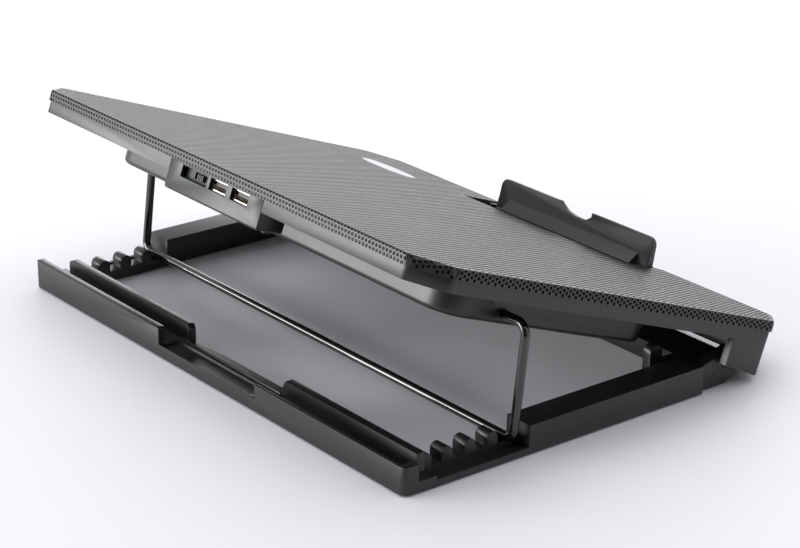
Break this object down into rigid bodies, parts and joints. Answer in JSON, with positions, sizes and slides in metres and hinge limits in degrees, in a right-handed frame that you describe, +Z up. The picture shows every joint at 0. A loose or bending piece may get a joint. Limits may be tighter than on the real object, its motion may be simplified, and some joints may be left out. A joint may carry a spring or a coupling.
{
  "type": "laptop cooling pad",
  "caption": "Tilting laptop cooling pad: perforated top panel with fans and a flip-up stop, held by a wire prop on a notched base frame.",
  "frame": {"origin": "on the table under the middle of the overall box", "axes": "+X to the user's right, +Y to the rear (raised edge and ports), +Z up"},
  "size_m": [0.37, 0.272, 0.1249],
  "materials": {
    "black_abs": "fine moulded texture, satin",
    "shell_abs": "fine moulded texture, satin",
    "coated_sheet": "black powder coat, satin",
    "gloss_wire": "gloss black enamel",
    "rubber": "matt",
    "bright_badge": "satin, blank",
    "board": "solder mask",
    "socket_steel": "nickel plated",
    "tongue_plastic": "moulded",
    "switch_plastic": "moulded",
    "fan_plastic": "moulded",
    "pin_steel": "drawn",
    "bush_plastic": "moulded",
    "screw_steel": "black zinc",
    "stop_plastic": "satin moulded"
  },
  "bodies": {
    "base": {"base_frame": "black_abs", "rubber_foot_1": "rubber", "rubber_foot_2": "rubber", "rubber_foot_3": "rubber", "rubber_foot_4": "rubber"},
    "prop": {"prop_wire": "gloss_wire"},
    "panel": {"panel_shell": "shell_abs", "belly_pan": "shell_abs", "top_sheet": "coated_sheet", "badge": "bright_badge", "port_housing": "shell_abs", "circuit_board": "board", "usb_socket_1": "socket_steel", "usb_socket_2": "socket_steel", "usb_tongue_1": "tongue_plastic", "usb_tongue_2": "tongue_plastic", "switch_body": "switch_plastic", "fan_frame_left": "fan_plastic", "fan_frame_right": "fan_plastic", "hinge_pin_left": "pin_steel", "hinge_pin_right": "pin_steel", "prop_bush_left": "bush_plastic", "prop_bush_right": "bush_plastic", "stop_pin_left": "pin_steel", "stop_pin_right": "pin_steel", "belly_screws": "screw_steel", "fan_screws": "screw_steel", "board_screws": "screw_steel"},
    "stop": {"stop_flap": "stop_plastic"},
    "rotor_left": {"fan_rotor_left": "fan_plastic"},
    "rotor_right": {"fan_rotor_right": "fan_plastic"},
    "switch": {"switch_knob": "switch_plastic"}
  },
  "joints": [
    {"name": "panel_tilt", "type": "hinge", "parent": "base", "child": "panel", "pos_m": [0, -0.09596, 0.01383], "axis": [1, 0, 0], "range_deg": [-19.4, 0]},
    {"name": "prop_lean", "type": "hinge", "parent": "base", "child": "prop", "pos_m": [0, 0.0605, 0.0093], "axis": [1, 0, 0], "range_deg": [-84.1, 0]},
    {"name": "stop_fold", "type": "hinge", "parent": "panel", "child": "stop", "pos_m": [0, -0.12453, 0.02753], "axis": [1, 0, 0], "range_deg": [-80.8, 0]},
    {"name": "fan_spin_left", "type": "hinge", "parent": "panel", "child": "rotor_left", "pos_m": [-0.075, 0.01642, 0.06309], "axis": [0, -0.3486, 0.9373], "continuous": true},
    {"name": "fan_spin_right", "type": "hinge", "parent": "panel", "child": "rotor_right", "pos_m": [0.075, 0.01642, 0.06309], "axis": [0, -0.3486, 0.9373], "continuous": true},
    {"name": "switch_slide", "type": "slide", "parent": "panel", "child": "switch", "axis": [1, 0, 0], "range_m": [0, 0.004]}
  ],
  "couplings": [
    {"joint": "prop_lean", "follows": "panel_tilt", "ratio": 4.334}
  ]
}
